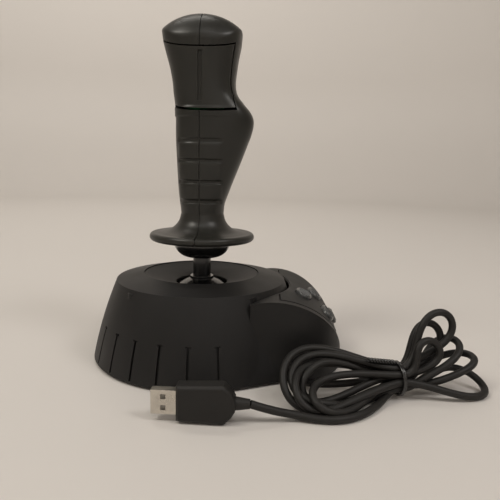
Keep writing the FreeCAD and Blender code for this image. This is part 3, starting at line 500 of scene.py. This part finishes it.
def add_pod_buttons():
    """Each oval cap with raised ribs across its top."""
    for number in range(1, 5):
        node = f"pod_button_{number}"
        across, round_way, out = button_axis(node)
        corners = [v.co for v in frame["nodes"][node].data.vertices]
        top = max(c.dot(out) for c in corners)
        upper = [c for c in corners if c.dot(out) > top - CAP_HEIGHT * MM]
        (mid_long, half_long), (mid_wide, half_wide) = (span(upper, way) for way in (across, round_way))
        middle = across * mid_long + round_way * mid_wide + out * top

        def add_ribs(work):
            for i in range(BUTTON_RIBS):
                place = (i - (BUTTON_RIBS - 1) / 2) / BUTTON_RIBS * RIB_SPREAD
                reach = half_wide * math.sqrt(1 - place * place) * RIB_REACH
                rib(work, middle + across * half_long * place, across, round_way * reach, out)

        refined(node, 0.3, extra=add_ribs)


def rib(work, centre, across, along, out):
    """A low rounded bar on a button's top: along is half its length."""
    rows = []
    for end, shrink in ((-1.0, 0.25), (-0.93, 0.8), (-0.8, 1.0), (0.8, 1.0), (0.93, 0.8), (1.0, 0.25)):
        row = []
        for i in range(9):
            a = math.pi * i / 8
            side = math.cos(a) * RIB_HALF * MM * shrink
            high = math.sin(a) * RIB_HEIGHT * MM * shrink - RIB_SUNK * MM
            row.append(work.verts.new(centre + along * end + across * side + out * high))
        rows.append(row)
    for first, second in zip(rows, rows[1:]):
        for i in range(8):
            work.faces.new((first[i], first[i + 1], second[i + 1], second[i]))
        work.faces.new((first[8], first[0], second[0], second[8]))
    work.faces.new(rows[0][::-1])
    work.faces.new(rows[-1])


# --- grip and trigger ---
# height, then left, right, front and back reach of the grip from the stick's axis, mm
GRIP = (
    (91.0, 13.4, 13.4, 13.4, 13.4), (97.0, 13.9, 14.0, 14.2, 15.0), (104.0, 14.7, 16.4, 15.0, 16.5),
    (111.0, 15.2, 19.0, 15.8, 18.0), (122.0, 15.8, 23.3, 16.6, 19.5), (133.0, 16.4, 27.4, 17.0, 20.5),
    (141.0, 16.6, 30.2, 17.2, 20.8), (148.0, 16.6, 31.2, 17.2, 20.5), (153.0, 16.7, 29.4, 17.2, 20.0),
    (158.0, 17.2, 25.2, 17.2, 19.6), (163.6, 18.0, 20.9, 17.2, 19.4), (170.0, 18.6, 19.6, 17.3, 20.0),
    (178.0, 20.1, 20.2, 17.8, 22.5), (186.0, 22.3, 21.3, 18.8, 26.0), (193.0, 24.2, 22.6, 20.0, 29.0),
    (200.0, 25.2, 23.1, 21.0, 31.0), (206.0, 25.4, 23.2, 21.5, 31.5), (214.0, 25.4, 23.2, 21.5, 31.5),
)
HEAD_ROWS = 11                                # the head is shaped by the rows from this one up
BELL = ((27.5, 78.7), (22.0, 79.9), (17.8, 82.4), (14.8, 86.2), (13.4, 91.0))     # radius, height
FLANGE_RADIUS, FLANGE_LOW, FLANGE_HIGH, RIM_DEPTH = 33.2, 73.9, 78.7, 2.2
CAP_PLACE, CAP_HALF = (-1.0, -1.0, 180.0), (33.3, 21.6, 60.0, 29.5)    # half X, front, back, height
FACE_PLACE, FACE_TILT, PANEL_MID, PANEL_HALF = (0.0, 4.0, 207.0), 35.0, 16.5, (16.0, 13.2)
HEAD_START, HEAD_SOFT, GRIP_WALL, TRIGGER_THICK = 186.0, 1.1, 2.4, 2.2
GROOVES, GROOVE_DEPTH = (135.6, 123.5, 110.8, 99.1), 0.75
GROOVE_SOFT, PAD_CROWN = (0.7, 1.5), 0.45     # a groove's flat and outer half width, rise of a pad
PAD_SIDE, FRONT_SOFT = (12.2, 13.8), (2.0, 7.0)    # where the pads and the front's relief fade out
COLLAR = (149.0, 150.0, 0.6)                  # foot, top and depth of the step under the trigger
COLLAR_END, COLLAR_SIDE = (154.0, 156.0), (10.0, 18.0)
MID_GROOVE = (158.2, 192.0, 1.2, 0.9)         # foot, top, half width and depth of the trigger's groove
SEAM_HALF, SEAM_DEPTH = 0.36, 0.9
TRIGGER_LOW, TRIGGER_HIGH, LOW_SLOPE, HIGH_SLOPE = 153.8, 187.2, 0.25, 0.42
TRIGGER_REACH = {1: 0.87, -1: 0.95}           # shares of the grip's reach to either side
FLARE = (162.0, 20.9, 0.42)                   # under this height the border runs out straight: reach, slope
TRIGGER_GAPS = (0.6, 1.5, 0.9)                # beside, below and above it
TRIGGER_PIVOT = (0.0, -4.0, 182.0)
ARM = ((-16.0, 176.4), (-4.0, 178.6), (-0.8, 182.0), (-4.0, 185.2), (-16.0, 183.0))    # Y and Z round an arm
PIN_BORE, PIN_BOSS, PIN_BOSS_X = 1.55, 3.4, (12.5, 18.5)
HANDLE_BOSSES, BOSS_RADIUS, BOSS_REACH = ((11.0, 114.0), (12.5, 142.0), (11.0, 172.0)), 3.2, 14.0
GRIP_FOOT = 91.0                              # where the grip's sections start, above the bell
SECTION_POWER = 2.4                           # 2 is an ellipse, more is squarer
FINE_ROW, ROW = 0.35, 1.1                     # height between rows, where the relief is fine and elsewhere
SEAM_BOX = ((-60, 90), (60, 230))             # Y and Z that hold the whole grip


def smoothstep(low, high, value):
    t = np.clip((value - low) / (high - low), 0.0, 1.0)
    return t * t * (3 - 2 * t)


def curve_through(table, at):
    """A smooth curve through rows of (place, values...), read at one place."""
    i = max(0, min(len(table) - 2, sum(1 for row in table if row[0] <= at) - 1))
    before, here, there, after = (table[max(0, min(len(table) - 1, i + k))] for k in (-1, 0, 1, 2))
    span = there[0] - here[0]
    t = max(0.0, min(1.0, (at - here[0]) / span))
    values = []
    for a, b, c, d in zip(before[1:], here[1:], there[1:], after[1:]):
        way_in = (c - a) / (there[0] - before[0]) * span
        way_out = (d - b) / (after[0] - here[0]) * span
        values.append((2 * t ** 3 - 3 * t ** 2 + 1) * b + (t ** 3 - 2 * t ** 2 + t) * way_in
                      + (3 * t ** 2 - 2 * t ** 3) * c + (t ** 3 - t ** 2) * way_out)
    return values


def column_angles():
    """Directions round the axis, close together at the trigger's central groove."""
    angles = {3.0 * i for i in range(120)}
    angles |= {270.0 + s * a for s in (-1, 1) for a in (0.75, 1.5, 2.3, 3.3, 3.8, 4.3, 5.0)}
    return np.radians(sorted(angles))


def round_radius(z, inset):
    """How far the grip's side lies from the axis at one height, in every direction."""
    left, right, front, back = (value - inset for value in curve_through(GRIP, z))
    power = 2.0 + (SECTION_POWER - 2.0) * min(1.0, max(0.0, (z - GRIP_FOOT) / 6.0))
    c, s = np.cos(ANGLES), np.sin(ANGLES)
    wide, deep = np.where(c > 0, right, left), np.where(s > 0, back, front)
    return ((np.abs(c) / wide) ** power + (np.abs(s) / deep) ** power) ** (-1 / power)


def relief(z, radius):
    """Finger grooves with crowned pads between, the step under the trigger and its central groove."""
    x, y = radius * np.cos(ANGLES), radius * np.sin(ANGLES)
    front = smoothstep(*FRONT_SOFT, -y)
    pads = 1 - smoothstep(*PAD_SIDE, np.abs(x))
    change = np.zeros_like(x)
    for height in GROOVES:
        change -= GROOVE_DEPTH * pads * front * (1 - smoothstep(*GROOVE_SOFT, abs(z - height)))
    for low, high in zip(GROOVES[1:], GROOVES):
        across = (z - low) * (high - z) / ((high - low) / 2) ** 2
        change += PAD_CROWN * pads * front * max(0.0, across)
    foot, top, depth = COLLAR
    under = smoothstep(foot, top, z) * (1 - smoothstep(*COLLAR_END, z))
    change += depth * front * under * (1 - smoothstep(*COLLAR_SIDE, x))
    foot, top, half, depth = MID_GROOVE
    if foot < z < top:
        change -= depth * front * (1 - smoothstep(half - 0.15, half + 0.15, np.abs(x)))
    return radius + change


def head_points(elevation, inset):
    """Where rays from the axis meet the head: its side, its domed cap and its thumb face, blended."""
    e = math.radians(elevation)
    way = np.stack([np.cos(ANGLES) * math.cos(e), np.sin(ANGLES) * math.cos(e),
                    np.full_like(ANGLES, math.sin(e))])
    normal = np.array([0.0, math.sin(math.radians(FACE_TILT)), math.cos(math.radians(FACE_TILT))])
    half_x, front, back, height = CAP_HALF
    low, high = np.zeros_like(ANGLES), np.full_like(ANGLES, 60.0)
    table = np.array(GRIP[HEAD_ROWS:])
    for _ in range(26):
        middle = (low + high) / 2
        x, y, z = way * middle
        z = z + HEAD_START
        left, right, fore, aft = (np.interp(z, table[:, 0], table[:, k]) - inset for k in (1, 2, 3, 4))
        wide, deep = np.where(x > 0, right, left), np.where(y > 0, aft, fore)
        side = (np.abs(x) / wide) ** SECTION_POWER + (np.abs(y) / deep) ** SECTION_POWER
        side = side ** (1 / SECTION_POWER)
        side = (side - 1) * np.hypot(x, y) / np.maximum(side, 1e-6)
        dx, dy, dz = x - CAP_PLACE[0], y - CAP_PLACE[1], z - CAP_PLACE[2]
        along = np.where(dy > 0, back, front - inset)
        dome = np.sqrt((dx / (half_x - inset)) ** 2 + (dy / along) ** 2 + (dz / (height - inset)) ** 2)
        dome = (dome - 1) * np.sqrt(dx ** 2 + dy ** 2 + dz ** 2) / np.maximum(dome, 1e-6)
        face = (y - FACE_PLACE[1]) * normal[1] + (z - FACE_PLACE[2]) * normal[2] + inset
        top = blended(dome, face, 1.2)
        outside = blended(side, top, HEAD_SOFT) > 0
        high, low = np.where(outside, middle, high), np.where(outside, low, middle)
    x, y, z = way * low
    return np.stack([x, y, z + HEAD_START], axis=1)


def blended(a, b, soft):
    """The larger of two distances, rounded where they meet."""
    return np.maximum(a, b) + np.maximum(soft - np.abs(a - b), 0.0) ** 2 / (4 * soft)


def ring(z, radius):
    return np.stack([radius * np.cos(ANGLES), radius * np.sin(ANGLES), np.full_like(ANGLES, z)], axis=1)


def grip_heights(low, high):
    """Heights of the rows up the grip, close together where the relief is fine."""
    steps, z = [], low
    while z < high - 0.2:
        steps.append(z)
        near = min(abs(z - g) for g in (*GROOVES, COLLAR[0] + 0.5, 157.8, 154.8))
        z += FINE_ROW if near < 2.0 else ROW
    return steps


def flange_rows(inset):
    """The hand rest's underside, rim and top, then the bell up to the grip."""
    low, high, radius = FLANGE_LOW + inset, FLANGE_HIGH - inset, FLANGE_RADIUS - inset
    depth = RIM_DEPTH - inset
    rows = [(r, low) for r in (6.0, 14.0, 22.0, 27.0, 30.0)]
    for i in range(13):
        a = math.radians(-90 + 15 * i)
        rows.append((radius - depth + depth * math.cos(a), (low + high) / 2 + (high - low) / 2 * math.sin(a)))
    by_index = [(float(i), r - inset * (0.4 + 0.6 * i / 4), z - inset * (1 - i / 4))
                for i, (r, z) in enumerate(BELL)]
    rows.append((29.6 - inset, high))
    rows += [tuple(curve_through(by_index, i / 6)) for i in range(24)]
    return [ring(z, np.full_like(ANGLES, r)) for r, z in rows]


def closed_surface(rows):
    """A closed mesh from rings of points, capped at both ends."""
    work = bmesh.new()
    grid = [[work.verts.new(tuple(p * MM)) for p in row] for row in rows]
    count = len(grid[0])
    for lower, upper in zip(grid, grid[1:]):
        for j in range(count):
            k = (j + 1) % count
            work.faces.new((lower[j], lower[k], upper[k], upper[j]))
    for row, flip in ((grid[0], True), (grid[-1], False)):
        centre = work.verts.new(sum((v.co for v in row), Vector()) / count)
        for j in range(count):
            k = (j + 1) % count
            work.faces.new((row[k], row[j], centre) if flip else (row[j], row[k], centre))
    return solid_from(work)


def solid_from(work):
    mesh = bpy.data.meshes.new("solid")
    bmesh.ops.recalc_face_normals(work, faces=work.faces)
    work.to_mesh(mesh)
    work.free()
    solid = bpy.data.objects.new("solid", mesh)
    bpy.context.collection.objects.link(solid)
    return solid


def grip_solid(inset, detailed, flange):
    """The whole outer form of the grip, moved in by inset."""
    rows = flange_rows(inset) if flange else []
    for z in grip_heights(GRIP_FOOT, HEAD_START):
        radius = round_radius(z, inset)
        rows.append(ring(z, relief(z, radius) if detailed else radius))
    elevations = [0.0, 1.5, 3.0] + [4.0 + 0.9 * i for i in range(37)] + [40.0 + 3.0 * i for i in range(17)]
    rows += [head_points(e, inset) for e in elevations]
    return closed_surface(rows)


def prism(outline, start, end):
    """A closed prism from a 2-D outline: each point gives its 3-D place at the start and at the end."""
    work = bmesh.new()
    first = [work.verts.new(Vector(start(*p)) * MM) for p in outline]
    last = [work.verts.new(Vector(end(*p)) * MM) for p in outline]
    work.faces.new(first[::-1])
    work.faces.new(last)
    for i in range(len(outline)):
        k = (i + 1) % len(outline)
        work.faces.new((first[i], first[k], last[k], last[i]))
    return solid_from(work)


def box_solid(x, y, z):
    outline = [(x[0], z[0]), (x[1], z[0]), (x[1], z[1]), (x[0], z[1])]
    return prism(outline, lambda a, c: (a, y[0], c), lambda a, c: (a, y[1], c))


def rod_solid(radius, start, end, sides=48):
    """A cylinder between two points, in mm."""
    axis = (Vector(end) - Vector(start)).normalized()
    turn = axis.to_track_quat("Z", "Y")
    outline = [(math.cos(2 * math.pi * i / sides), math.sin(2 * math.pi * i / sides)) for i in range(sides)]
    return prism(outline, lambda a, b: Vector(start) + turn @ Vector((a * radius, b * radius, 0)),
                 lambda a, b: Vector(end) + turn @ Vector((a * radius, b * radius, 0)))


def trigger_border(side, z):
    """How far to one side the trigger's border runs at one height."""
    left, right, _, _ = curve_through(GRIP, z)
    reach = right if side > 0 else left
    if side > 0 and z < FLARE[0]:
        reach = min(reach, FLARE[1] + (FLARE[0] - z) * FLARE[2])
    return side * TRIGGER_REACH[side] * reach


def trigger_region(gap, low_gap, high_gap, back):
    """A block that holds the trigger seen from the front, with both long edges sloping."""
    heights = [144.0 + 1.5 * i for i in range(36)]
    outline = [(trigger_border(1, z) + gap, z) for z in heights]
    outline += [(trigger_border(-1, z) - gap, z) for z in heights[::-1]]
    region = prism(outline, lambda x, z: (x, -60.0, z), lambda x, z: (x, back, z))
    low, high = TRIGGER_LOW - low_gap, TRIGGER_HIGH + high_gap
    slab = [(-60.0, low - LOW_SLOPE * 42), (10.0, low + LOW_SLOPE * 28),
            (10.0, high + HIGH_SLOPE * 30), (-60.0, high - HIGH_SLOPE * 40)]
    return combined(region, prism(slab, lambda y, z: (-50.0, y, z), lambda y, z: (50.0, y, z)), "INTERSECT")


def combined(solid, other, operation, keep=False):
    """solid cut by, joined to or limited by other, which is used up unless keep is set."""
    cut = solid.modifiers.new("cut", "BOOLEAN")
    cut.object, cut.operation, cut.solver = other, operation, "MANIFOLD"
    shown = bpy.context.evaluated_depsgraph_get()
    mesh = bpy.data.meshes.new_from_object(solid.evaluated_get(shown))
    solid.modifiers.clear()
    solid.data = mesh
    if not keep:
        bpy.data.objects.remove(other)
    return solid


def on_thumb_face(across, down, up):
    tilt = math.radians(FACE_TILT)
    return (across, FACE_PLACE[1] + down * math.cos(tilt) + up * math.sin(tilt),
            FACE_PLACE[2] - down * math.sin(tilt) + up * math.cos(tilt))


def panel_opening(grow, depth):
    outline = [((PANEL_HALF[0] + grow) * math.cos(a), PANEL_MID + (PANEL_HALF[1] + grow) * math.sin(a))
               for a in [2 * math.pi * i / 72 for i in range(72)]]
    return prism(outline, lambda x, t: on_thumb_face(x, t, -depth), lambda x, t: on_thumb_face(x, t, 30.0))


def hollow_grip(inset, detailed):
    """The grip's walls with every opening cut: cavity, bore, trigger window and thumb panel."""
    grip = grip_solid(inset, detailed, True)
    combined(grip, grip_solid(GRIP_WALL, False, False), "DIFFERENCE")
    combined(grip, rod_solid(9.0, (0, 0, 60), (0, 0, 92)), "DIFFERENCE")
    combined(grip, trigger_region(*TRIGGER_GAPS, -2.0), "DIFFERENCE")
    combined(grip, panel_opening(0.15, 1.6), "DIFFERENCE")
    combined(grip, panel_opening(-0.8, 9.0), "DIFFERENCE")
    return grip


def add_grip():
    """Both halves of the grip, parted by a narrow seam over a hidden tongue."""
    whole = hollow_grip(0.0, True)
    tongue = hollow_grip(SEAM_DEPTH, False)
    combined(tongue, box_solid((-0.7, 0.7), *SEAM_BOX), "INTERSECT")
    inside = grip_solid(0.5 * GRIP_WALL, False, False)
    for side, name in ((-1, "left"), (1, "right")):
        x = sorted((side * SEAM_HALF, side * 60.0))
        half = combined(box_solid(x, *SEAM_BOX), whole, "INTERSECT", keep=True)
        for y, z in HANDLE_BOSSES:
            boss = rod_solid(BOSS_RADIUS, (side * 1.0, y, z), (side * BOSS_REACH, y, z))
            combined(boss, inside, "INTERSECT", keep=True)
            combined(half, boss, "UNION")
        if side < 0:
            combined(half, tongue, "UNION")
        pin = [(side * reach, *TRIGGER_PIVOT[1:]) for reach in PIN_BOSS_X]
        combined(half, rod_solid(PIN_BOSS, *pin), "UNION")
        half.name = f"handle_{name}_finished"
        finished_solid(half, "grip", "grip_plastic", f"handle_shell_{name}")
    bpy.data.objects.remove(whole)
    bpy.data.objects.remove(inside)


def add_trigger():
    """The trigger: a curved plate in the grip's own surface, on two arms."""
    pivot_y, pivot_z = TRIGGER_PIVOT[1:]
    plate = grip_solid(0.0, True, False)
    combined(plate, grip_solid(TRIGGER_THICK, False, False), "DIFFERENCE")
    combined(plate, trigger_region(0.0, 0.0, 0.0, -6.5), "INTERSECT")
    for x in (-9.0, 9.0):
        combined(plate, prism(ARM, lambda y, z: (x - 1.2, y, z), lambda y, z: (x + 1.2, y, z)), "UNION")
    combined(plate, rod_solid(PIN_BORE, (-20, pivot_y, pivot_z), (20, pivot_y, pivot_z)), "DIFFERENCE")
    plate.name = "trigger_finished"
    finished_solid(plate, "trigger", "grip_plastic", "trigger")


def finished_solid(piece, body, slot, node):
    """Shade a built solid and put it on its body in place of its CAD node."""
    piece.data.materials.clear()
    piece.data.materials.append(FINISHES[slot])
    piece.data.update()
    smooth(piece.data, 34.0)
    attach(piece, body)
    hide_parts(node)


ANGLES = column_angles()
add_grip()
add_trigger()
for node, width in (                          # the others that are seen, with the rounding of their edges, mm
        ("base_shell", 0.45), ("recess_dish", 0.25), ("dome_cover", 0.2), ("lower_hub", 0.5), ("shaft", 0.2),
        ("thumb_panel", 0.3), ("hat_cap", 0.3), ("thumb_button_left", 0.3), ("thumb_button_right", 0.3),
        ("pod_panel", 0.3), ("throttle_lever", 0.3), ("cable_gland", 0.2), ("rubber_feet", 0.3),
        ("base_plate", 0.3)):
    refined(node, width)
add_pod_buttons()


# --- stage and light ---
WALL_RADIUS, WALL_HEIGHT, SWEEP, ROUND_STEPS = 2.0, 3.0, 0.5, 120     # of the pale stage, m


def add_floor():
    """A pale table that sweeps up into a pale wall all round."""
    mesh = bpy.data.meshes.new("floor")
    work = bmesh.new()
    profile = [(0.5, 0.0), (WALL_RADIUS - SWEEP, 0.0)]
    profile += [(WALL_RADIUS - SWEEP + SWEEP * math.sin(a), SWEEP - SWEEP * math.cos(a))
                for a in [math.radians(6 * i) for i in range(1, 16)]]
    profile.append((WALL_RADIUS, WALL_HEIGHT))
    round_way = [math.radians(360 / ROUND_STEPS * i) for i in range(ROUND_STEPS)]
    rings = [[work.verts.new((r * math.cos(a), r * math.sin(a), z)) for a in round_way] for r, z in profile]
    work.faces.new(rings[0])
    for lower, upper in zip(rings, rings[1:]):
        for i in range(ROUND_STEPS):
            k = (i + 1) % ROUND_STEPS
            work.faces.new((lower[i], lower[k], upper[k], upper[i]))
    bmesh.ops.recalc_face_normals(work, faces=work.faces)
    work.to_mesh(mesh)
    work.free()
    mesh.shade_smooth()
    floor = bpy.data.objects.new("floor", mesh)
    bpy.context.collection.objects.link(floor)
    material, _, _, shader = new_material("floor_finish")
    shader.inputs["Base Color"].default_value = (0.66, 0.63, 0.60, 1)
    shader.inputs["Roughness"].default_value = 0.55
    floor.data.materials.append(material)


def add_light(name, place, size, power, tint, aim=(0, 0, 0.1)):
    data = bpy.data.lights.new(name, "AREA")
    data.size, data.energy, data.color = size, power, tint
    light = bpy.data.objects.new(name, data)
    light.location = place
    light.rotation_euler = (Vector(aim) - Vector(place)).to_track_quat("-Z", "Y").to_euler()
    bpy.context.collection.objects.link(light)


def add_world():
    world = bpy.data.worlds.new("room")
    world.use_nodes = True
    background = world.node_tree.nodes["Background"]
    background.inputs["Color"].default_value = (0.80, 0.76, 0.70, 1)
    background.inputs["Strength"].default_value = 0.14
    bpy.context.scene.world = world
    bpy.context.scene.view_settings.view_transform = "Standard"


add_floor()
add_light("ceiling_left", (-0.75, -0.50, 1.15), 0.45, 7.3, (1.0, 0.95, 0.86))
add_light("ceiling_right", (0.85, -0.45, 1.15), 0.45, 5.1, (1.0, 0.96, 0.93))
add_light("window", (0.4, -1.3, 0.9), 1.0, 1.3, (1.0, 0.97, 0.95))
add_light("wall_wash", (-0.35, 0.6, 1.6), 0.8, 13.8, (1.0, 0.95, 0.88), (-0.3, 2.0, 0.5))
add_light("back_wash", (0.2, -0.9, 1.7), 0.8, 9.0, (1.0, 0.96, 0.92), (0.0, -2.0, 0.6))
add_world()
